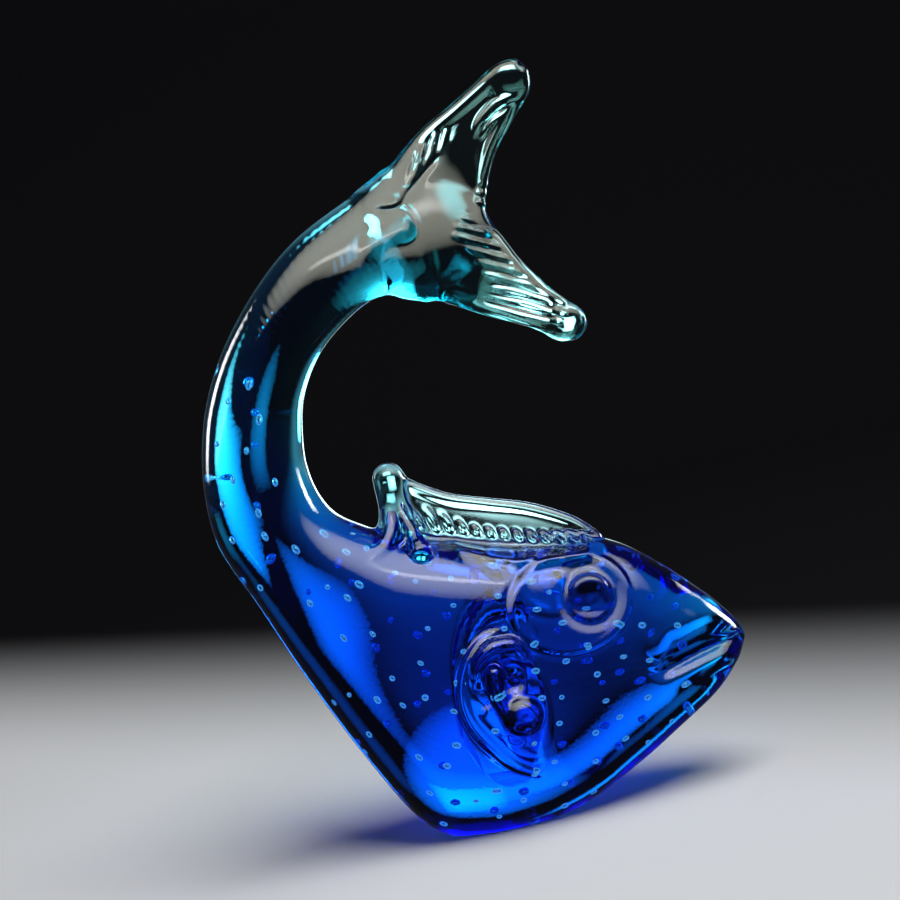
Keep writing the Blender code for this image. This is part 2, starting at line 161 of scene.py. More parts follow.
class Clay:
    """Half of a grid of distances to the glass, from the fish's middle plane out. Negative is inside."""

    def __init__(self, low, high):
        self.first = [math.floor(low[0] / VOXEL), 0, math.floor(low[2] / VOXEL)]
        self.size = [math.ceil(high[axis] / VOXEL) - self.first[axis] for axis in range(3)]
        shape = np.eye(3, dtype=int) * (np.array(self.size) - 1) + 1
        self.axes = [
            ((self.first[axis] + np.arange(self.size[axis])) * VOXEL).astype(np.float32).reshape(shape[axis])
            for axis in range(3)
        ]

    def of_loft(self, points):
        """Distances to a closed loft over rings of points."""
        rings, sides, _ = points.shape
        number = np.arange(rings * sides, dtype=np.uint32).reshape(rings, sides)
        beside = np.roll(number, -1, axis=1)
        quads = np.stack([number[:-1], beside[:-1], beside[1:], number[1:]], axis=2).reshape(-1, 4)
        flat = points.reshape(-1, 3)
        hubs = np.array([points[0].mean(axis=0), points[-1].mean(axis=0)])
        everything = np.concatenate([flat, hubs]).astype(np.float32)
        hub = np.full(sides, rings * sides, np.uint32)
        front = np.stack([number[0], hub, beside[0]], axis=1)
        rear = np.stack([number[-1], beside[-1], hub + 1], axis=1)
        triangles = np.concatenate([front, rear]).astype(np.uint32)
        width = BAND / VOXEL
        grid = vdb.FloatGrid.createLevelSetFromPolygons(
            everything, triangles=triangles, quads=quads.astype(np.uint32),
            transform=vdb.createLinearTransform(voxelSize=VOXEL), exBandWidth=width, inBandWidth=width
        )
        found = np.empty(self.size, np.float32)
        grid.copyToArray(found, ijk=tuple(self.first))
        return found

    def window(self, low, high):
        """Slices of the grid between two corners, with the coordinates inside them."""
        cut = []
        for axis in range(3):
            start = math.floor(low[axis] / VOXEL) - self.first[axis]
            stop = math.ceil(high[axis] / VOXEL) - self.first[axis] + 1
            cut.append(slice(max(start, 0), min(max(stop, 1), self.size[axis])))
        x, y, z = self.axes
        return tuple(cut), x[cut[0]], y[:, cut[1]], z[:, :, cut[2]]


def smooth_join(a, b, radius):
    """The nearer of two surfaces, with a fillet where they meet."""
    mix = np.clip(0.5 + (b - a) / (2 * radius), 0, 1)
    return b * (1 - mix) + a * mix - radius * mix * (1 - mix)


def ramp(value, start, end):
    """Rises smoothly from 0 at start to 1 at end, or falls if end is below start."""
    t = np.clip((value - start) / (end - start), 0, 1)
    return t * t * (3 - 2 * t)


def rod(points, radii, x, y, z):
    """Distance to a rod through the points whose radius changes evenly between them."""
    nearest = None
    for a, b, radius_a, radius_b in zip(points, points[1:], radii, radii[1:]):
        line = np.subtract(b, a)
        dx, dy, dz = x - a[0], y - a[1], z - a[2]
        along = np.clip((dx * line[0] + dy * line[1] + dz * line[2]) / line.dot(line), 0, 1)
        away = (dx - along * line[0]) ** 2 + (dy - along * line[1]) ** 2 + (dz - along * line[2]) ** 2
        found = np.sqrt(away) - radius_a - along * (radius_b - radius_a)
        nearest = found if nearest is None else np.minimum(nearest, found)
    return nearest


# Chatter marks of the jacks: ripples round the stem's curl and along the shoulder
CURL_CENTRE = (2.0, 106.0)
CURL_RADIUS = 46.0
CHATTER_PITCH = 2.0
CHATTER_DEPTH = 0.02
UNEVENNESS = 0.13

# Fillets where one bit was fused to another
FIN_FILLET = 2.2
TAIL_FILLET = 5.0
DETAIL_FILLET = 0.9

# Head
EYE = (31.2, 56.4)
EYE_RADIUS = 5.7
EYE_FRONT = 14.9
BOWL = (26.6, 56.2)
BOWL_RADII = (14.6, 11.4)
BOWL_DEPTH = 2.6
BRIM_RISE = 0.3
MOAT_DEPTH = 0.25
MOUTH_LINE = ((70.2, 36.6), (63.0, 35.8), (56.0, 34.9), (49.0, 33.4), (45.0, 32.9), (42.0, 34.8))
MOUTH_DEPTH = 2.3
LIP_SLOPE = 2.7
LIP_DROP = 4.0
LIP_RISE = 0.8

# Pectoral fin, on the flank: places are (x, z, height over the flank)
FIN_RIM = ((7.5, 53.6, -0.4), (1.5, 52.0, 0.3), (-3.6, 46.5, 0.7), (-5.8, 39.0, 0.8), (-4.6, 31.8, 1.0),
           (-0.5, 24.6, 0.9), (4.0, 18.6, 0.5), (9.0, 15.0, -0.3))
FIN_HOOD = ((-1.6, 43.5, 0.4), (0.2, 47.4, 1.6), (4.2, 50.2, 2.0), (9.6, 49.6, 1.4), (11.6, 46.6, 0.2))
FIN_STALK = ((3.3, 44.0, 1.8), (3.0, 39.0, 1.4), (4.4, 33.0, 1.0))
FIN_CURL = (8.1, 31.6)
FIN_CURL_RADIUS = 5.0
FIN_DIMPLES = (((7.6, 40.6), 2.6, 1.5), ((-0.8, 38.2), 2.8, 1.2), ((6.2, 27.2), 1.8, 0.8))

# Tail: tongue (x, y, z), crease (x, z), folds (x, z, height from the middle plane), lean and tip rings
TONGUE = ((-12.0, 3.6, 150.5), (-3.0, 4.6, 155.0), (3.9, 5.1, 157.0))
TONGUE_RADII = (6.2, 5.2, 4.6)
TAIL_CREASE = ((-2.0, 163.5), (4.6, 162.9), (8.2, 166.2), (14.5, 171.5), (18.7, 174.6))
RIB_HEIGHT = 0.75
LOBE_RIM = 1.9
TAIL_FOLDS = (
    (((27.3, 177.0, 0.6), (30.3, 180.6, 1.2), (34.8, 183.7, 1.6), (38.4, 184.6, 1.4), (42.0, 184.4, 0.6)),
     1.0),
    (((29.8, 176.6, 0.8), (33.5, 179.7, 1.2), (37.8, 181.6, 0.8)), 0.8),
)
TAIL_LEAN = 0.30
LEAN_START = (-46.0, 2.0)
LEAN_LEVEL = 151.0
LEAN_REACH = 20.0
TAIL_TIPS = ((39.4, 188.3, 5.5, 1.9), (41.2, 125.4, 4.6, 2.2))

# Shoulder: (x, z) along the fin's root and along the ridge below it
SHOULDER_ROOT = ((-12, 82.6), (-4, 80.0), (2, 78.2), (12, 74.8), (22, 71.8), (30, 69.8), (37, 68.2))
SHOULDER_RIDGE = ((-12, 85.0), (-4, 79.2), (-1.8, 77.5), (2.7, 74.2), (8.6, 71.3), (14.7, 69.2), (21, 68.1),
                  (27.5, 67.4), (31.5, 67.2), (37, 67.4))
SHOULDER_HOLLOW = 1.6
SHOULDER_CREST = 0.9
PINCH_PITCH = 3.4
PINCH_HEIGHT = 1.3

# Horn of the dorsal fin
HORN = ((-13.5, 0.0, 78.0), (-13.4, 0.0, 88.0), (-12.9, 0.0, 95.4))
HORN_RADII = (6.0, 3.6, 4.1)
HORN_LEG = ((-12.4, 1.6, 93.5), (-11.6, 3.6, 87.5), (-9.6, 6.6, 81.0), (-8.4, 9.4, 76.4))
HORN_LEG_RADII = (1.5, 1.3, 1.7, 3.2)
SADDLE_LEG = ((-13.2, 1.6, 93.0), (-14.0, 3.4, 87.0), (-15.6, 6.4, 81.0), (-21.0, 9.4, 77.0),
              (-29.0, 10.4, 76.5))
SADDLE_LEG_RADII = (1.4, 1.7, 2.2, 2.4, 0.8)


def flat_distance(path, x, z):
    """Distance in the side view to a path, and how far along it the nearest point is, from 0 to 1."""
    nearest = np.full(np.broadcast(x, z).shape, 1e3, np.float32)
    place = np.zeros_like(nearest)
    steps = len(path) - 1
    for number, (a, b) in enumerate(zip(path, path[1:])):
        line = np.subtract(b, a)
        dx, dz = x - a[0], z - a[1]
        along = np.clip((dx * line[0] + dz * line[1]) / line.dot(line), 0, 1)
        found = np.hypot(dx - along * line[0], dz - along * line[1])
        closer = found < nearest
        nearest = np.where(closer, found, nearest)
        place = np.where(closer, (number + along) / steps, place)
    return nearest, place


def press_mouth(clay, body):
    """A line pressed in from each side: steep at the lower lip, sloping gently up to the cheek."""
    line = curve(MOUTH_LINE, 24)
    cut, x, y, z = clay.window((38, 0, 20), (73, 22, 50))
    flat_x, flat_z = x[:, 0, :], z[:, 0, :]
    order = np.argsort(line[:, 0])
    level = np.interp(flat_x, line[order, 0], line[order, 1])
    over = flat_z - level
    width = 0.6 + 3.4 * ramp(flat_x, 71, 56) * ramp(flat_x, 41, 48)
    above = np.clip(1 - over / width, 0, 1) ** 1.5
    below = np.clip(1 + over / LIP_SLOPE, 0, 1) ** 1.4
    depth = MOUTH_DEPTH * ramp(flat_x, 70.5, 60) * ramp(flat_x, 41, 48)
    groove = depth * np.where(over > 0, above, below)
    lip = LIP_RISE * np.exp(-(((over + LIP_DROP) / 2.4) ** 2))
    lip = lip * ramp(flat_x, 69.5, 63) * ramp(flat_x, 44, 56)
    cheek = 0.7 * np.exp(-(((over - 8.0) / 4.0) ** 2)) * ramp(flat_x, 68, 58) * ramp(flat_x, 38, 48)
    outward = ramp(y, 0.5, 3.0)
    body[cut] += (groove - lip - cheek)[:, None, :] * outward
    return body


def shape_eye(clay, body):
    """A flat bead near the front of a wide oval bowl, pressed like a shallow cone."""
    low = (BOWL[0] - BOWL_RADII[0] - 5, 7, BOWL[1] - BOWL_RADII[1] - 5)
    high = (BOWL[0] + BOWL_RADII[0] + 5, 27, BOWL[1] + BOWL_RADII[1] + 5)
    cut, x, y, z = clay.window(low, high)
    off_x, off_z = (BOWL[0] - EYE[0]) / BOWL_RADII[0], (BOWL[1] - EYE[1]) / BOWL_RADII[1]
    side_x, side_z = (x - EYE[0]) / BOWL_RADII[0], (z - EYE[1]) / BOWL_RADII[1]
    skew, left = side_x * off_x + side_z * off_z, 1 - off_x**2 - off_z**2
    outward = (np.sqrt(skew**2 + left * (side_x**2 + side_z**2)) - skew) / left
    slant = np.sqrt(np.clip(1 - outward, 0, 1) ** 2 + 0.0025) - 0.05
    brim = BRIM_RISE * np.exp(-(((outward - 1.04) / 0.08) ** 2))
    brim -= 0.4 * np.exp(-(((outward - 1.13) / 0.05) ** 2))
    away = np.hypot(x - EYE[0], z - EYE[1])
    moat = MOAT_DEPTH * np.exp(-(((away - EYE_RADIUS - 1.3) / 1.1) ** 2))
    body[cut] += (BOWL_DEPTH * slant + moat - brim) * ramp(y, 7, 11)
    flattened = np.maximum(away - EYE_RADIUS + 2.1, 0)
    bead = np.sqrt(flattened**2 + (y - EYE_FRONT + 2.1) ** 2) - 2.1
    body[cut] = smooth_join(body[cut], bead, 0.3)
    return body


def lay_pectoral_fin(clay, body):
    """The curled bit on the flank: a rim, a hood, a stalk and a round curl over a shallow pad."""
    cut, x, y, z = clay.window((-14, 10, 8), (22, 27, 60))
    height = body[cut].copy()
    pad = 1.5 * ramp(np.hypot((x - 3.5) / 10.5, (z - 35.5) / 18), 1.1, 0.55)
    fin = height - pad
    for (place_x, place_z), radius, depth in FIN_DIMPLES:
        fin = fin + depth * ramp(np.hypot(x - place_x, z - place_z), radius * 1.7, radius * 0.3)

    def strip(path, radii, count):
        """A rod that follows a path over the flank."""
        way = curve(path, count)
        away, along = flat_distance(way[:, :2], x[:, 0, :], z[:, 0, :])
        lift = np.interp(along, np.linspace(0, 1, count), way[:, 2])
        radius = np.interp(along, np.linspace(0, 1, len(radii)), radii)
        return np.sqrt(away[:, None, :] ** 2 + (height - lift[:, None, :]) ** 2) - radius[:, None, :]

    fin = smooth_join(fin, strip(FIN_RIM, (0.5, 1.0, 1.2, 1.5, 1.3, 0.6), 30), 0.8)
    fin = smooth_join(fin, strip(FIN_HOOD, (1.3, 1.9, 2.3, 2.0, 1.1), 20), 0.7)
    fin = smooth_join(fin, strip(FIN_STALK, (1.9, 1.5, 1.7), 12), 0.6)
    away = np.hypot(x - FIN_CURL[0], z - FIN_CURL[1])
    curl = np.sqrt(away**2 + (1.25 * (height - 0.4)) ** 2) - FIN_CURL_RADIUS
    fin = smooth_join(fin, curl, 0.7)
    body[cut] = np.where(y > 12, fin, body[cut])
    return body


def shape_shoulder(clay, body):
    """The shoulder the pincers left: a hollow along the fin's root, then a ridge and a broad roll."""
    cut, x, y, z = clay.window((-24, 0, 52), (46, 24, 92))
    flat_x, flat_z = x[:, 0, :], z[:, 0, :]
    root = np.interp(flat_x, *np.transpose(SHOULDER_ROOT))
    ridge = np.interp(flat_x, *np.transpose(SHOULDER_RIDGE))
    below = (flat_z - root) / np.maximum(root - ridge, 1.2)
    ends = ramp(flat_x, -6, 4) * ramp(flat_x, 37, 32)
    hollow = SHOULDER_HOLLOW * np.exp(-(((below + 0.5) / 0.42) ** 2)) * ends
    crest = SHOULDER_CREST * np.exp(-(((flat_z - ridge) / 1.0) ** 2)) * ends
    crest -= 0.35 * np.exp(-(((flat_z - ridge + 3.2) / 1.5) ** 2)) * ends
    body[cut] += (hollow - crest)[:, None, :] * ramp(y, 1.0, 4.0)
    return body


def shape_horn(clay, skin):
    """The pinched-up end of the dorsal fin: a leg runs down each flank to a drop, and one to the saddle."""
    cut, x, y, z = clay.window((-30, 0, 66), (4, 17, 104))
    horn = rod(HORN, HORN_RADII, x, y, z)
    skin[cut] = smooth_join(skin[cut], horn, 2.6)
    for path, radii, fillet in ((HORN_LEG, HORN_LEG_RADII, 0.8), (SADDLE_LEG, SADDLE_LEG_RADII, 1.6)):
        way = curve(path, 16)
        thickness = np.interp(np.linspace(0, 1, 16), np.linspace(0, 1, len(radii)), radii)
        skin[cut] = smooth_join(skin[cut], rod(way, thickness, x, y, z), fillet)
    return skin


def pinch_dorsal(clay, skin, body):
    """A rolled top edge, and a row of curled pincer marks along both sides of the fin's root."""
    back, _, _ = spline(DORSAL_STATIONS, 30)
    top = [(x, 0.0, z - 1.7) for x, z in back]
    cut, x, y, z = clay.window((-14, 0, 62), (42, 9, 100))
    height = body[cut]
    skin[cut] = smooth_join(skin[cut], rod(top, np.linspace(1.2, 2.1, 30), x, y, z), 0.7)
    root = np.interp(x[:, 0, :], *np.transpose(SHOULDER_ROOT))
    above = (z[:, 0, :] - root)[:, None, :]
    phase = x / PINCH_PITCH + 0.10 * np.clip(above, -2, 5)
    wave = 0.5 + 0.5 * np.cos(math.tau * phase)
    reach = 2.2 + 4.6 * ramp(x, 8, -8)
    band = ramp(above, -1.2, 0.2) * ramp(above, reach, reach * 0.25)
    band = band * ramp(x, 35.5, 33.0) * ramp(x, -9.0, -6.0)
    skin[cut] -= PINCH_HEIGHT * wave**3 * band * ramp(height, -1.5, 0.0) * ramp(y, 6.5, 4.0)
    first, last = math.ceil(-6.5 / PINCH_PITCH), math.floor(34.0 / PINCH_PITCH)
    for number in range(first, last + 1):
        spot_x = number * PINCH_PITCH
        spot_z = float(np.interp(spot_x, *np.transpose(SHOULDER_ROOT))) - 0.5
        curl = np.sqrt((x - spot_x - 0.5) ** 2 + (z - spot_z) ** 2 + (height - 0.1) ** 2) - 0.85
        skin[cut] = smooth_join(skin[cut], curl, 0.3)
    return skin


def stripes(x, z, along, pitch):
    """A wave across the flank whose ridges run along a direction in the side view."""
    across = (along[1] * x - along[0] * z) / math.hypot(*along)
    return np.cos(math.tau * across / pitch)


def rib_tail(clay, tail):
    """Pincer ribs along the tail's edges, strands down the lower lobe, ringed tips and hooked folds."""
    cut, x, y, z = clay.window((0, 0, 115), (50, 12, 198))
    flat_x, flat_z = x[:, 0, :], z[:, 0, :]
    _, edge, _ = spline(LOWER_LOBE_STATIONS, 40, 1.5)
    away, along = flat_distance(edge, flat_x, flat_z)
    lower = ramp(away, 1.4, 2.8) * ramp(away, 9.5, 6.0) * ramp(along, 0.0, 0.06) * ramp(along, 0.9, 0.75)
    relief = RIB_HEIGHT * lower * (0.5 + 0.5 * stripes(flat_x, flat_z, (0.90, -0.44), 2.5)) ** 2
    _, edge, _ = spline(UPPER_LOBE_STATIONS, 40, 0.5)
    away, along = flat_distance(edge, flat_x, flat_z)
    upper = ramp(away, 2.6, 3.8) * ramp(away, 7.5, 4.5) * ramp(along, 0.03, 0.10) * ramp(along, 0.40, 0.30)
    relief += 0.6 * RIB_HEIGHT * upper * stripes(flat_x, flat_z, (0.45, 0.89), 2.4)
    edge, _, _ = spline(LOWER_LOBE_STATIONS, 40, 0.8)
    away, along = flat_distance(edge, flat_x, flat_z)
    strands = ramp(away, 1.8, 3.2) * ramp(away, 11.0, 8.0) * ramp(along, 0.15, 0.35) * ramp(along, 0.98, 0.85)
    relief += 0.3 * strands * np.cos(math.tau * away / 2.3)
    tail[cut] -= relief[:, None, :] * ramp(y, 0.3, 1.0)
    for tip_x, tip_z, radius, rim in TAIL_TIPS:
        ring = np.hypot(np.hypot(x - tip_x, z - tip_z) - radius + rim, y) - rim
        tail[cut] = smooth_join(tail[cut], ring, 0.9)
    for path, radius in TAIL_FOLDS:
        fold = [(spot_x, lift, spot_z) for spot_x, spot_z, lift in curve(path, 14)]
        inner, x, y, z = clay.window(np.min(fold, axis=0) - BAND, np.max(fold, axis=0) + BAND)
        tail[inner] = smooth_join(tail[inner], rod(fold, [radius] * len(fold), x, y, z), 0.6)
    return tail


def end_stem(clay, skin):
    """The round end of the stem lies on the flat tail like a tongue, with a crease that runs up from it."""
    cut, x, y, z = clay.window((-22, 0, 138), (26, 16, 180))
    tongue = rod(TONGUE, TONGUE_RADII, x, y, z)
    skin[cut] = smooth_join(skin[cut], tongue, 0.7)
    away, along = flat_distance(curve(TAIL_CREASE, 24)[:, :2], x[:, 0, :], z[:, 0, :])
    crease = 0.55 * np.exp(-((away / 0.75) ** 2)) * ramp(along, 0, 0.1) * ramp(along, 1, 0.8)
    skin[cut] += crease[:, None, :] * ramp(y, 2.0, 3.5)
    return skin


def lobe(clay, stations):
    """One tail lobe: a thin web inside a round rim."""
    field = clay.of_loft(sections(stations, 90, 72))
    back, belly, half = spline(stations, 26, 1.0)
    inward = (belly - back) / np.linalg.norm(belly - back, axis=1)[:, None]
    for edge, towards in ((back, inward), (belly, -inward)):
        path = edge + towards * LOBE_RIM
        points = [(x, 0.0, z) for x, z in path]
        radii = [LOBE_RIM] * len(points)
        cut, x, y, z = clay.window(np.min(points, axis=0) - BAND, np.max(points, axis=0) + BAND)
        field[cut] = smooth_join(field[cut], rod(points, radii, x, y, z), DETAIL_FILLET)
    return field


def sculpt_skin(clay):
    """The whole outer surface of the glass."""
    body = clay.of_loft(sections(BODY_STATIONS, 220, 120))
    press_mouth(clay, body)
    shape_shoulder(clay, body)
    shape_eye(clay, body)
    lay_pectoral_fin(clay, body)
    tail = smooth_join(lobe(clay, UPPER_LOBE_STATIONS), lobe(clay, LOWER_LOBE_STATIONS), TAIL_FILLET)
    rib_tail(clay, tail)
    skin = smooth_join(body, tail, TAIL_FILLET)
    end_stem(clay, skin)
    skin = smooth_join(skin, clay.of_loft(sections(DORSAL_STATIONS, 80, 60)), FIN_FILLET)
    shape_horn(clay, skin)
    pinch_dorsal(clay, skin, body)
    return skin


def whole(half):
    """Both halves of the fish, mirrored at the middle plane."""
    return np.concatenate([half[:, :0:-1], half], axis=1)


def hand_worked(field, first):
    """Slow unevenness and fine tool chatter, so that neither side is machine-true."""
    x, y, z = (
        ((first[axis] + np.arange(field.shape[axis])) * VOXEL).astype(np.float32).reshape(shape)
        for axis, shape in enumerate(((-1, 1, 1), (1, -1, 1), (1, 1, -1)))
    )
    slow = np.sin(x / 7.3 + 1.0) * np.sin(y / 6.1 + z / 9.7)
    slow = slow + np.sin(x / 11.9 - y / 8.3) * np.sin(z / 8.9 + 2.0)
    curl_x, curl_z = x - CURL_CENTRE[0], z - CURL_CENTRE[1]
    turn, spread = np.arctan2(curl_z, curl_x), np.hypot(curl_x, curl_z)
    stem = np.cos(math.tau * (turn * CURL_RADIUS + 0.35 * np.abs(spread - CURL_RADIUS)) / CHATTER_PITCH)
    stem = stem * ramp(z, 130, 144) * ramp(x, 6, -2)
    flank = np.cos(math.tau * (x + 0.2 * z) / CHATTER_PITCH) * ramp(x, -22, -12) * ramp(x, 20, 12)
    flank = flank * ramp(z, 54, 60) * ramp(z, 72, 68)
    return field + UNEVENNESS * slow + CHATTER_DEPTH * (stem + flank) * ramp(np.abs(y), 4, 8)


def softened(field):
    """The field after a small blur, which rounds every crease as the fire does."""
    for axis in range(3):
        field = (np.roll(field, 1, axis) + np.roll(field, -1, axis) + 2 * field) / 4
    return field


def sampled(field, first, points):
    """The field between grid points."""
    place = points / VOXEL - np.array(first)
    base = np.clip(np.floor(place).astype(int), 0, np.array(field.shape) - 2)
    share = place - base
    value = np.zeros(len(points))
    for corner in range(8):
        step = np.array([corner & 1, corner >> 1 & 1, corner >> 2])
        weight = np.prod(np.where(step, share, 1 - share), axis=1)
        value += weight * field[tuple((base + step).T)]
    return value


def slopes(field, first, points):
    """Which way, and how steeply, the distance grows at each point."""
    step = VOXEL / 2
    sides = np.eye(3) * step
    found = [sampled(field, first, points + side) - sampled(field, first, points - side) for side in sides]
    return np.stack(found, axis=1) / (2 * step)


def polygonize(field, first):
    """(points, quads) of the surface where the distance is 0, each point drawn exactly onto it."""
    grid = vdb.FloatGrid(BAND)
    grid.transform = vdb.createLinearTransform(voxelSize=VOXEL)
    grid.copyFromArray(np.ascontiguousarray(field), ijk=tuple(first), tolerance=0.0)
    points, _, quads = grid.convertToPolygons(isovalue=0.0, adaptivity=0.0)
    points = points.astype(float)
    for _ in range(2):
        slope = slopes(field, first, points)
        steepness = np.maximum((slope**2).sum(axis=1), 0.05)
        points -= slope * (sampled(field, first, points) / steepness)[:, None]
    return points, quads


def link(name, mesh):
    """A new object in the scene that shows the mesh."""
    made = bpy.data.objects.new(name, mesh)
    bpy.context.scene.collection.objects.link(made)
    return made


def mesh_piece(name, points, quads):
    """An object of the points, in millimetres, and the quads."""
    mesh = bpy.data.meshes.new(name)
    mesh.vertices.add(len(points))
    mesh.vertices.foreach_set("co", (points * MM).astype(np.float32).ravel())
    mesh.loops.add(quads.size)
    mesh.loops.foreach_set("vertex_index", quads.astype(np.int32).ravel())
    mesh.polygons.add(len(quads))
    mesh.polygons.foreach_set("loop_start", np.arange(0, quads.size, 4, dtype=np.int32))
    mesh.update(calc_edges=True)
    mesh.shade_smooth()
    return link(name, mesh)


# Parting the skin into its fused bits
SKIN, SEAM = 0, 1
TAIL_SEAT = ((9.3, 119.7), (-1.7, 201.1))
TAIL_REACH = 62.0
FIN_ROOT_SPAN = (4.45, 9.4)
FIN_ROOT_LIFT = 0.4
FIN_TOP = 108.0
PECTORAL_PLACE = (3.6, 34.3)
PECTORAL_RADII = (12.6, 21.5)
PECTORAL_SEAT = 17.0
EYE_SEAT = 13.6
EYE_CLEARANCE = 0.5
OUTSIDE = 32.0


def open_slots(mesh):
    """Empty material slots that tell the skin's faces from the faces of a seam."""
    for _ in (SKIN, SEAM):
        mesh.materials.append(None)


def prism(name, outline, near, far, slot=SEAM):
    """A closed prism across the fish over an outline in the side view."""
    shape = bmesh.new()
    ring = [shape.verts.new((x * MM, near * MM, z * MM)) for x, z in outline]
    face = shape.faces.new(ring)
    grown = bmesh.ops.extrude_face_region(shape, geom=[face])
    moved = [item for item in grown["geom"] if isinstance(item, bmesh.types.BMVert)]
    bmesh.ops.translate(shape, verts=moved, vec=(0, (far - near) * MM, 0))
    shape.normal_update()
    bmesh.ops.recalc_face_normals(shape, faces=shape.faces)
    for face in shape.faces:
        face.material_index = slot
    mesh = bpy.data.meshes.new(name)
    shape.to_mesh(mesh)
    shape.free()
    open_slots(mesh)
    return link(name, mesh)


def ellipse(place, radii, count):
    """Points round an ellipse in the side view."""
    angles = [math.tau * number / count for number in range(count)]
    (x, z), (wide, high) = place, radii
    return [(x + wide * math.cos(angle), z + high * math.sin(angle)) for angle in angles]


def boolean(piece, cutter, operation):
    """The mesh of the piece after one Boolean."""
    change = piece.modifiers.new("change", "BOOLEAN")
    change.operation = operation
    change.solver = "MANIFOLD"
    change.object = cutter
    graph = bpy.context.evaluated_depsgraph_get()
    mesh = bpy.data.meshes.new_from_object(piece.evaluated_get(graph))
    piece.modifiers.remove(change)
    return mesh


def drop_spare_points(mesh):
    """Takes out the points a Boolean leaves part-way along an edge, where two faces would fold together."""
    shape = bmesh.new()
    shape.from_mesh(mesh)
    for vert in [vert for vert in shape.verts if len(vert.link_edges) == 2]:
        bmesh.utils.vert_collapse_edge(vert, vert.link_edges[0])
    shape.to_mesh(mesh)
    shape.free()


def part_off(skin, name, cutter):
    """Takes what lies in the cutter off the skin, as a closed piece of its own."""
    taken = link(name, boolean(skin, cutter, "INTERSECT"))
    skin.data = boolean(skin, cutter, "DIFFERENCE")
    bpy.data.objects.remove(cutter)
    return taken


def level_off(piece, height):
    """Cuts off what lies under a height."""
    ground = prism("ground", [(-90, -20), (90, -20), (90, height), (-90, height)], -60, 60, SKIN)
    piece.data = boolean(piece, ground, "DIFFERENCE")
    bpy.data.objects.remove(ground)


def tail_cutter():
    low, high = TAIL_SEAT
    return prism("tail_cutter", [low, (TAIL_REACH, 108.0), (TAIL_REACH, high[1] + 4), high], -15, 15)


def dorsal_cutter():
    back, _, _ = spline(BODY_STATIONS, 30, *FIN_ROOT_SPAN)
    root = [(x, z + FIN_ROOT_LIFT) for x, z in back]
    return prism("dorsal_cutter", [*root, (root[-1][0], FIN_TOP), (root[0][0], FIN_TOP)], -12, 12)


def part_skin(skin):
    """Grinds the flat under the fish, then parts the skin into its fused bits, by name."""
    level_off(skin, 0)
    pieces = {"tail": part_off(skin, "tail_glass", tail_cutter())}
    pieces["dorsal"] = part_off(skin, "dorsal_glass", dorsal_cutter())
    round_eye = ellipse(EYE, (EYE_RADIUS + EYE_CLEARANCE,) * 2, 48)
    round_fin = ellipse(PECTORAL_PLACE, PECTORAL_RADII, 72)
    for side, sign in (("left", 1), ("right", -1)):
        eye = prism("eye_cutter", round_eye, sign * EYE_SEAT, sign * OUTSIDE)
        pieces["eye_" + side] = part_off(skin, "eye_bead_" + side, eye)
        fin = prism("fin_cutter", round_fin, sign * PECTORAL_SEAT, sign * OUTSIDE)
        pieces["pectoral_" + side] = part_off(skin, "pectoral_glass_" + side, fin)
    skin.name = "casing_glass"
    pieces["casing"] = skin
    # Not the beads or the casing: with other corners on their shared faces, the eyes render black
    for key in ("tail", "dorsal"):
        drop_spare_points(pieces[key].data)
    return pieces


def lean(points):
    """How far each point of the tail leans to the side, and the slope of that shift along x and z."""
    def share(x):
        return ramp(x, *LEAN_START) * ramp(points[:, 2], 112, 126)

    over = np.tanh((points[:, 2] - LEAN_LEVEL) / LEAN_REACH)
    here, step = share(points[:, 0]), 0.05
    shift = TAIL_LEAN * LEAN_REACH * here * over
    along_x = TAIL_LEAN * LEAN_REACH * over * (share(points[:, 0] + step) - here) / step
    return shift, along_x, TAIL_LEAN * here * (1 - over**2)


def lean_over(piece):
    """Leans a piece that lies inside the glass with the glass around it."""
    for vert in piece.data.vertices:
        place = np.array([vert.co]) / MM
        vert.co.y += float(lean(place)[0][0]) * MM


def shade(piece, field, first):
    """Shades the glass by the sculpted distances, so that neither a seam nor a facet of the mesh shows."""
    mesh = piece.data
    points = np.empty(len(mesh.vertices) * 3, np.float32)
    mesh.vertices.foreach_get("co", points)
    points = points.reshape(-1, 3) / MM
    slope = slopes(field, first, points)
    shift, along_x, along_z = lean(points)
    slope[:, 0] -= slope[:, 1] * along_x
    slope[:, 2] -= slope[:, 1] * along_z
    slope /= np.linalg.norm(slope, axis=1)[:, None]
    points[:, 1] += shift
    mesh.vertices.foreach_set("co", (points * MM).astype(np.float32).ravel())
    mesh.update()
    corner = np.empty(len(mesh.loops), np.int32)
    mesh.loops.foreach_get("vertex_index", corner)
    normals = slope[corner]
    faces = len(mesh.polygons)
    slots, totals = np.empty(faces, np.int32), np.empty(faces, np.int32)
    flat, middles = np.empty(faces * 3, np.float32), np.empty(faces * 3, np.float32)
    mesh.polygons.foreach_get("material_index", slots)
    mesh.polygons.foreach_get("loop_total", totals)
    mesh.polygons.foreach_get("normal", flat)
    mesh.polygons.foreach_get("center", middles)
    plain = (slots == SEAM) | (np.abs(middles.reshape(-1, 3)[:, 2]) < 1e-6)
    owner = np.repeat(np.arange(faces), totals)
    normals = np.where(plain[owner][:, None], flat.reshape(-1, 3)[owner], normals)
    seam = mesh.attributes.new("seam", "FLOAT", "FACE")
    seam.data.foreach_set("value", (slots == SEAM).astype(np.float32))
    mesh.polygons.foreach_set("material_index", np.zeros(faces, np.int32))
    mesh.shade_smooth()
    mesh.normals_split_custom_set(normals)


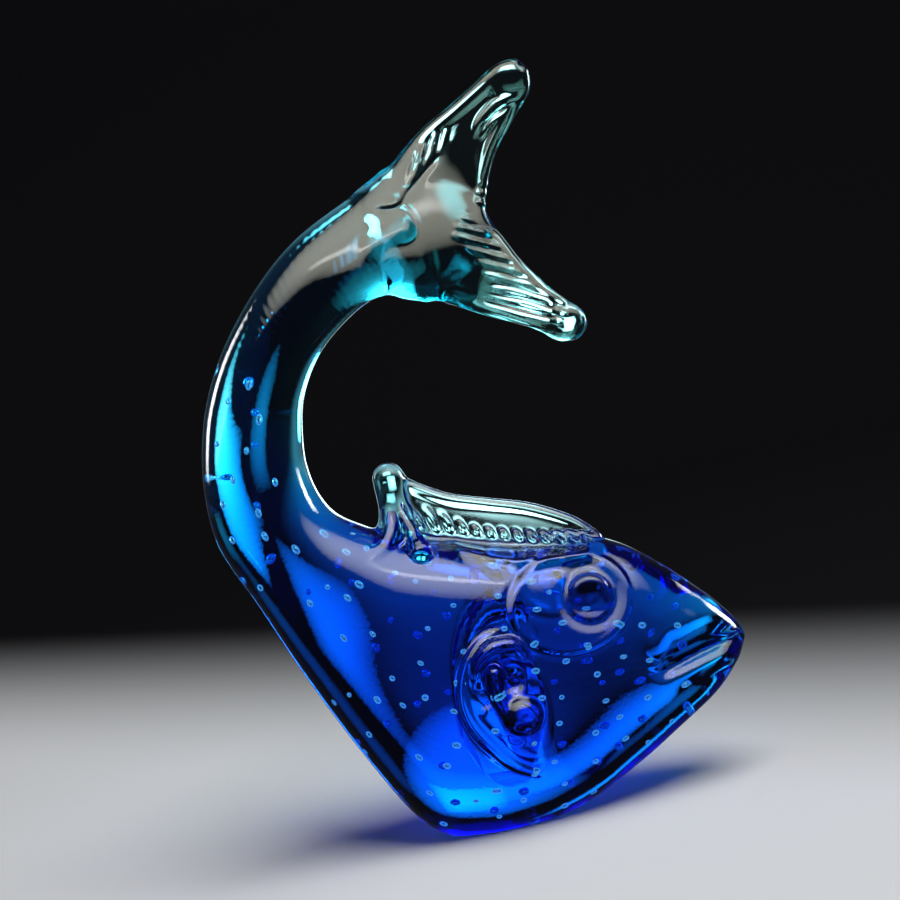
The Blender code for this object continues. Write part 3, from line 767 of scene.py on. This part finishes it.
# The blue core and the trapped air
CORE_DEPTH = 2.6
CORE_SPAN = (0.9, 18.9)
CORE_NOSE = 0.12
CORE_END = 0.07
CORE_THINNING = 0.5
CORE_FOOT = 0.4
CORE_COVER = 1.0
BUBBLE_DEPTH = 3.0
BUBBLE_SPAN = (2.6, 15.4)
BUBBLE_ROWS = 19
BUBBLE_PITCH = 8.2
BUBBLE_RADIUS = 0.72
BUBBLES_LOST = 0.12
BUBBLE_FLOOR = 2.5
BUBBLE_EDGE = 6.5
# Painted rim highlight of the bubbles: strength and colour of an emission that stands in for the light real
# bubbles gather
BUBBLE_PAINTED_RIM_LIGHT = 2.3
BUBBLE_PAINTED_RIM_COLOUR = (0.07, 0.36, 0.8)


def loft_mesh(name, points):
    """A closed loft over rings of points in millimetres."""
    rings, sides, _ = points.shape
    number = np.arange(rings * sides).reshape(rings, sides)
    beside = np.roll(number, -1, axis=1)
    quads = np.stack([number[:-1], number[1:], beside[1:], beside[:-1]], axis=2).reshape(-1, 4)
    shape = bmesh.new()
    spots = [shape.verts.new(spot) for spot in (points.reshape(-1, 3) * MM).tolist()]
    for quad in quads.tolist():
        shape.faces.new([spots[index] for index in quad])
    for ring in (number[0], number[-1]):
        shape.faces.new([spots[index] for index in ring.tolist()])
    shape.normal_update()
    bmesh.ops.recalc_face_normals(shape, faces=shape.faces)
    mesh = bpy.data.meshes.new(name)
    shape.to_mesh(mesh)
    shape.free()
    mesh.shade_smooth()
    return link(name, mesh)


def core_size(rings):
    """The core is rounded off where it starts and drawn out to nothing in the stem."""
    way = np.linspace(0, 1, rings)
    head = np.sqrt(np.clip(1 - (1 - way / CORE_NOSE).clip(0, 1) ** 2, 0.0004, 1))
    tail = np.sqrt(np.clip(1 - ((way - 1 + CORE_END) / CORE_END).clip(0, 1) ** 2, 0.0004, 1))
    return head * (1 - CORE_THINNING * ramp(way, 0.48, 0.78)) * tail


def keep_inside(piece, field, first):
    """Draws the piece in wherever the tools pressed the glass, so that some casing always covers it."""
    places = np.array([vert.co for vert in piece.data.vertices]) / MM
    for _ in range(4):
        push = np.clip(sampled(field, first, places) + CORE_COVER, 0, 2)
        places -= slopes(field, first, places) * push[:, None]
    piece.data.vertices.foreach_set("co", (places * MM).ravel())


def make_core():
    """The first gather: a smaller loft inside the body, which shows end-on just above the flat."""
    rings = 120
    points = sections(BODY_STATIONS, rings, 72, CORE_DEPTH, core_size(rings), *CORE_SPAN)
    core = loft_mesh("core_glass", points)
    level_off(core, CORE_FOOT)
    core.data.shade_smooth()
    core.data.set_sharp_from_angle(angle=math.radians(40))
    return core


def bubble_spots():
    """(place, direction of draw, stretch, size) of each bubble, in staggered rows round the core."""
    chance = np.random.default_rng(7)
    rings, sides = 240, 360
    grid = sections(BODY_STATIONS, rings, sides, BUBBLE_DEPTH, None, *BUBBLE_SPAN)
    found = []
    for row in range(BUBBLE_ROWS):
        ring = round((row + 0.5) * rings / BUBBLE_ROWS)
        loop = grid[ring]
        stride = np.linalg.norm(np.roll(loop, -1, axis=0) - loop, axis=1)
        length = np.concatenate([[0], np.cumsum(stride)])
        count = max(7, round(length[-1] / BUBBLE_PITCH))
        for place in range(count):
            if chance.random() < BUBBLES_LOST:
                continue
            along = (place + 0.5 * (row % 2) + chance.normal(0, 0.13)) % count / count * length[-1]
            side = min(int(np.searchsorted(length, along)), sides - 1)
            step = int(np.clip(ring + chance.normal(0, 2.6), 1, rings - 2))
            draw = grid[step + 1, side] - grid[step - 1, side]
            spot = grid[step, side]
            stretch, size = chance.uniform(1.1, 1.9), chance.uniform(0.75, 1.2)
            if spot[2] > BUBBLE_FLOOR and abs(spot[1]) > BUBBLE_EDGE:
                found.append((spot, draw / np.linalg.norm(draw), stretch, size))
    return found


def make_bubbles():
    """All the air bubbles as one piece of separate closed drops, drawn out along the glass."""
    ball = bmesh.new()
    bmesh.ops.create_icosphere(ball, subdivisions=2, radius=1.0)
    template = np.array([vert.co for vert in ball.verts])
    triangles = np.array([[vert.index for vert in face.verts] for face in ball.faces])
    ball.free()
    points, faces = [], []
    for number, (spot, draw, stretch, size) in enumerate(bubble_spots()):
        stretched = template + np.outer(template @ draw, draw) * (stretch - 1)
        points.append(spot + stretched * BUBBLE_RADIUS * size)
        faces.append(triangles + number * len(template))
    mesh = bpy.data.meshes.new("air_bubbles")
    mesh.from_pydata((np.concatenate(points) * MM).tolist(), [], np.concatenate(faces).tolist())
    mesh.shade_smooth()
    return link("air_bubbles", mesh)


# Glass: what each mm of it takes of red, green and blue
CORE_TAKES = (0.30, 0.080, 0.014)
CASING_TAKES = (0.10, 0.016, 0.003)
FIN_TAKES = (0.13, 0.020, 0.011)
EYE_TAKES = (0.6, 0.25, 0.006)
GLASS_IOR = 1.5
POLISH_ROUGHNESS = 0.012
WAVE_SCALE = 160.0
WAVE_STRENGTH = 0.015


def new_material(name):
    """An empty node material: the material, its nodes, its links and its output."""
    made = bpy.data.materials.new(name)
    made.use_nodes = True
    nodes = made.node_tree.nodes
    nodes.clear()
    return made, nodes, made.node_tree.links, nodes.new("ShaderNodeOutputMaterial")


def absorb(nodes, links, out, per_mm):
    """Colour that deepens with the way through the glass: each mm takes this much red, green and blue."""
    volume = nodes.new("ShaderNodeVolumeAbsorption")
    most = max(per_mm)
    volume.inputs["Color"].default_value = (*(1 - share / most for share in per_mm), 1)
    volume.inputs["Density"].default_value = most / MM
    links.new(volume.outputs["Volume"], out.inputs["Volume"])


def clear_glass(name, per_mm):
    """Fire-polished glass, faintly wavy; where it was fused to the next bit it has no surface."""
    made, nodes, links, out = new_material(name)
    shader = nodes.new("ShaderNodeBsdfPrincipled")
    shader.inputs["Base Color"].default_value = (1, 1, 1, 1)
    shader.inputs["Roughness"].default_value = POLISH_ROUGHNESS
    shader.inputs["IOR"].default_value = GLASS_IOR
    shader.inputs["Transmission Weight"].default_value = 1.0
    waves = nodes.new("ShaderNodeTexNoise")
    waves.inputs["Scale"].default_value = WAVE_SCALE
    waves.inputs["Detail"].default_value = 1.0
    bump = nodes.new("ShaderNodeBump")
    bump.inputs["Strength"].default_value = WAVE_STRENGTH
    bump.inputs["Distance"].default_value = 0.001
    links.new(waves.outputs["Fac"], bump.inputs["Height"])
    links.new(bump.outputs["Normal"], shader.inputs["Normal"])
    seam = nodes.new("ShaderNodeAttribute")
    seam.attribute_name = "seam"
    through = nodes.new("ShaderNodeBsdfTransparent")
    either = nodes.new("ShaderNodeMixShader")
    links.new(seam.outputs["Fac"], either.inputs["Fac"])
    links.new(shader.outputs["BSDF"], either.inputs[1])
    links.new(through.outputs["BSDF"], either.inputs[2])
    links.new(either.outputs["Shader"], out.inputs["Surface"])
    absorb(nodes, links, out, per_mm)
    return made


def blue_core_glass():
    """Deep blue by absorption; its surface is fused to the casing, so it bends nothing."""
    made, nodes, links, out = new_material("core_blue_glass")
    shader = nodes.new("ShaderNodeBsdfTransparent")
    links.new(shader.outputs["BSDF"], out.inputs["Surface"])
    absorb(nodes, links, out, CORE_TAKES)
    return made


def air():
    """The wall of an air bubble, seen from the glass around it, with a faint painted highlight along its rim:
    an emission that stands in for the light a real bubble gathers.
    """
    made, nodes, links, out = new_material("trapped_air_painted_rim")
    shader = nodes.new("ShaderNodeBsdfGlass")
    shader.inputs["Roughness"].default_value = 0.0
    shader.inputs["IOR"].default_value = 1 / GLASS_IOR
    edge = nodes.new("ShaderNodeLayerWeight")
    edge.inputs["Blend"].default_value = 0.25
    level = nodes.new("ShaderNodeMath")
    level.operation = "MULTIPLY"
    level.inputs[1].default_value = BUBBLE_PAINTED_RIM_LIGHT
    # Painted highlight: the bubble's rim emits light, though it is no lamp, in place of the light a real
    # bubble gathers
    painted_rim_light = nodes.new("ShaderNodeEmission")
    painted_rim_light.inputs["Color"].default_value = (*BUBBLE_PAINTED_RIM_COLOUR, 1)
    both = nodes.new("ShaderNodeAddShader")
    links.new(edge.outputs["Facing"], level.inputs[0])
    links.new(level.outputs["Value"], painted_rim_light.inputs["Strength"])
    links.new(shader.outputs["BSDF"], both.inputs[0])
    links.new(painted_rim_light.outputs["Emission"], both.inputs[1])
    links.new(both.outputs["Shader"], out.inputs["Surface"])
    return made


def build_fish():
    low = [corner / MM - 3 for corner in CAD_BOX[0]]
    high = [corner / MM + 3 for corner in CAD_BOX[1]]
    clay = Clay(low, high)
    field = whole(sculpt_skin(clay))
    first = [clay.first[0], 1 - clay.size[1], clay.first[2]]
    field = softened(hand_worked(field, first))
    skin = mesh_piece("skin", *polygonize(field, first))
    open_slots(skin.data)
    pieces = part_skin(skin)
    casing = clear_glass("casing_glass", CASING_TAKES)
    fin = clear_glass("fin_glass", FIN_TAKES)
    eye = clear_glass("eye_glass", EYE_TAKES)
    finish = {
        "casing": ("body_casing", "casing_glass", casing),
        "tail": ("tail_fin", "fin_glass", fin),
        "dorsal": ("dorsal_fin", "fin_glass", fin),
        "eye_left": ("eye_left", "eye_glass", eye),
        "eye_right": ("eye_right", "eye_glass", eye),
        "pectoral_left": ("pectoral_fin_left", "casing_glass", casing),
        "pectoral_right": ("pectoral_fin_right", "casing_glass", casing),
    }
    for key, (node, slot, glass) in finish.items():
        piece = pieces[key]
        shade(piece, field, first)
        piece.data.materials.clear()
        piece.data.materials.append(glass)
        settle(piece, node)
    core = make_core()
    keep_inside(core, field, first)
    core.data.materials.clear()
    core.data.materials.append(blue_core_glass())
    lean_over(core)
    settle(core, "body_core")
    bubbles = make_bubbles()
    lean_over(bubbles)
    bubbles.data.materials.append(air())
    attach(bubbles, "root")


def settle(piece, node):
    """The piece takes the place of its CAD node."""
    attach(piece, "root")
    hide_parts(node)


# Floor, light and camera, in metres
FLOOR_COLOUR = (0.66, 0.67, 0.69)
BACKDROP_COLOUR = (0.007, 0.007, 0.008)
FADE_START = 0.02
FADE_END = 0.28
FADE_SLANT = 0.9
SWEEP_FRONT = -1.5
SWEEP_FLAT_TO = 0.55
SWEEP_RADIUS = 0.35
SWEEP_TOP = 1.8
SWEEP_HALF_WIDTH = 2.2
CAMERA_AIM = (0.0044, 0.0, 0.0992)
CAMERA_ELEVATION = math.radians(6.0)
CAMERA_ROLL = math.radians(12.3)
CAMERA_DISTANCE = 0.48
CAMERA_LENS = 73.85


def sweep_cloth():
    """Matt and pale in front, fading to dark behind the fish along a slant."""
    made, nodes, links, out = new_material("sweep")
    shader = nodes.new("ShaderNodeBsdfPrincipled")
    place = nodes.new("ShaderNodeTexCoord")
    split = nodes.new("ShaderNodeSeparateXYZ")
    fade = nodes.new("ShaderNodeMapRange")
    fade.interpolation_type = "SMOOTHSTEP"
    fade.inputs["From Min"].default_value = FADE_START
    fade.inputs["From Max"].default_value = FADE_END
    mix = nodes.new("ShaderNodeMix")
    mix.data_type = "RGBA"
    mix.inputs["A"].default_value = (*FLOOR_COLOUR, 1)
    mix.inputs["B"].default_value = (*BACKDROP_COLOUR, 1)
    slant = nodes.new("ShaderNodeMath")
    slant.operation = "MULTIPLY_ADD"
    slant.inputs[1].default_value = FADE_SLANT
    links.new(place.outputs["Object"], split.inputs["Vector"])
    links.new(split.outputs["X"], slant.inputs[0])
    links.new(split.outputs["Y"], slant.inputs[2])
    links.new(slant.outputs["Value"], fade.inputs["Value"])
    links.new(fade.outputs["Result"], mix.inputs["Factor"])
    links.new(mix.outputs["Result"], shader.inputs["Base Color"])
    shader.inputs["Roughness"].default_value = 0.8
    shader.inputs["Specular IOR Level"].default_value = 0.0
    links.new(shader.outputs["BSDF"], out.inputs["Surface"])
    return made


def make_stage():
    """A pale sweep: flat under the fish, curving up far behind it."""
    depth = [(SWEEP_FRONT, 0.0), (SWEEP_FLAT_TO, 0.0)]
    depth += [(SWEEP_FLAT_TO + SWEEP_RADIUS * math.sin(turn), SWEEP_RADIUS * (1 - math.cos(turn)))
              for turn in (math.radians(5 * step) for step in range(1, 19))]
    depth.append((SWEEP_FLAT_TO + SWEEP_RADIUS, SWEEP_TOP))
    shape = bmesh.new()
    rows = [[shape.verts.new((x, y, z)) for y, z in depth] for x in (-SWEEP_HALF_WIDTH, SWEEP_HALF_WIDTH)]
    for number in range(len(depth) - 1):
        shape.faces.new((rows[0][number], rows[1][number], rows[1][number + 1], rows[0][number + 1]))
    mesh = bpy.data.meshes.new("sweep")
    shape.to_mesh(mesh)
    shape.free()
    mesh.shade_smooth()
    mesh.materials.append(sweep_cloth())
    sweep = link("sweep", mesh)
    sweep.visible_glossy = False


def soften_edges(data):
    """The panel is bright in the middle and fades out towards its edges, as cloth over a lamp does."""
    data.use_nodes = True
    nodes, links = data.node_tree.nodes, data.node_tree.links
    place = nodes.new("ShaderNodeNewGeometry")
    split = nodes.new("ShaderNodeSeparateXYZ")
    links.new(place.outputs["Parametric"], split.inputs["Vector"])
    waves = []
    for axis in ("X", "Y"):
        turn = nodes.new("ShaderNodeMath")
        turn.operation = "MULTIPLY"
        turn.inputs[1].default_value = math.pi
        wave = nodes.new("ShaderNodeMath")
        wave.operation = "SINE"
        links.new(split.outputs[axis], turn.inputs[0])
        links.new(turn.outputs["Value"], wave.inputs[0])
        waves.append(wave)
    product = nodes.new("ShaderNodeMath")
    product.operation = "MULTIPLY"
    links.new(waves[0].outputs["Value"], product.inputs[0])
    links.new(waves[1].outputs["Value"], product.inputs[1])
    level = nodes.new("ShaderNodeMath")
    level.operation = "POWER"
    level.inputs[1].default_value = 0.6
    links.new(product.outputs["Value"], level.inputs[0])
    links.new(level.outputs["Value"], nodes["Emission"].inputs["Strength"])


def add_light(name, place, aim, size, power, colour=(1, 1, 1), on_floor=False):
    """A panel that only the floor sees, or one that only the glass sees."""
    data = bpy.data.lights.new(name, "AREA")
    data.shape = "RECTANGLE"
    data.size, data.size_y = size
    data.energy = power
    data.color = colour
    if not on_floor:
        soften_edges(data)
    light = link(name, data)
    light.location = place
    light.rotation_euler = (Vector(aim) - Vector(place)).to_track_quat("-Z", "Y").to_euler()
    light.visible_camera = False
    light.visible_diffuse = on_floor
    light.visible_glossy = not on_floor


def make_lights():
    middle = (0.0, 0.0, 0.1)
    cool = (0.7, 0.95, 0.95)
    add_light("top", (0.3, -0.3, 1.3), middle, (0.9, 0.9), 19.0, on_floor=True)
    add_light("softbox", (0.1, -0.48, 0.98), middle, (2.4, 1.3), 62.0, (0.97, 1.0, 0.84))
    add_light("lamp", (0.12, -0.55, 0.70), middle, (0.60, 0.08), 1.2)
    add_light("behind", (0.085, 0.70, 0.08), middle, (0.16, 0.19), 0.50, cool)
    add_light("behind_low", (-0.012, 0.20, 0.024), (-0.02, 0, 0.06), (0.08, 0.036), 0.02, cool)
    add_light("behind_near", (-0.006, 0.06, 0.012), (-0.01, 0, 0.015), (0.034, 0.02), 0.005, cool)
    add_light("behind_stem", (-0.030, 0.12, 0.084), (-0.05, 0, 0.11), (0.045, 0.034), 0.016, cool)
    add_light("behind_left", (-0.13, 0.50, 0.075), (0.05, 0, 0.04), (0.07, 0.14), 0.02, cool)
    add_light("behind_right", (0.27, 0.50, 0.05), (-0.03, 0, 0.04), (0.12, 0.12), 0.014, cool)
    add_light("right", (0.9, 0.3, 0.26), middle, (0.3, 0.5), 12.0)
    add_light("left", (-0.8, 0.4, 0.4), middle, (0.3, 0.6), 9.0)
    world = bpy.data.worlds.new("studio")
    bpy.context.scene.world = world
    world.use_nodes = True
    world.node_tree.nodes["Background"].inputs["Color"].default_value = (0.9, 0.95, 1.0, 1)
    world.node_tree.nodes["Background"].inputs["Strength"].default_value = 0.04


def make_camera():
    data = bpy.data.cameras.new("camera")
    data.sensor_width = 36.0
    data.lens = CAMERA_LENS
    camera = link("camera", data)
    ahead = Vector((0, math.cos(CAMERA_ELEVATION), -math.sin(CAMERA_ELEVATION)))
    right, up = Vector((1, 0, 0)), Vector((0, math.sin(CAMERA_ELEVATION), math.cos(CAMERA_ELEVATION)))
    across = right * math.cos(CAMERA_ROLL) - up * math.sin(CAMERA_ROLL)
    upward = right * math.sin(CAMERA_ROLL) + up * math.cos(CAMERA_ROLL)
    camera.rotation_euler = Matrix((across, upward, -ahead)).transposed().to_euler()
    camera.location = Vector(CAMERA_AIM) - ahead * CAMERA_DISTANCE
    bpy.context.scene.camera = camera


def set_view():
    """Plain colours, and enough bounces for light that crosses many glass walls and bubbles."""
    view = bpy.context.scene
    view.view_settings.view_transform = "Standard"
    view.cycles.max_bounces = 32
    view.cycles.transmission_bounces = 32
    view.cycles.transparent_max_bounces = 64


build_fish()
make_stage()
make_lights()
make_camera()
set_view()
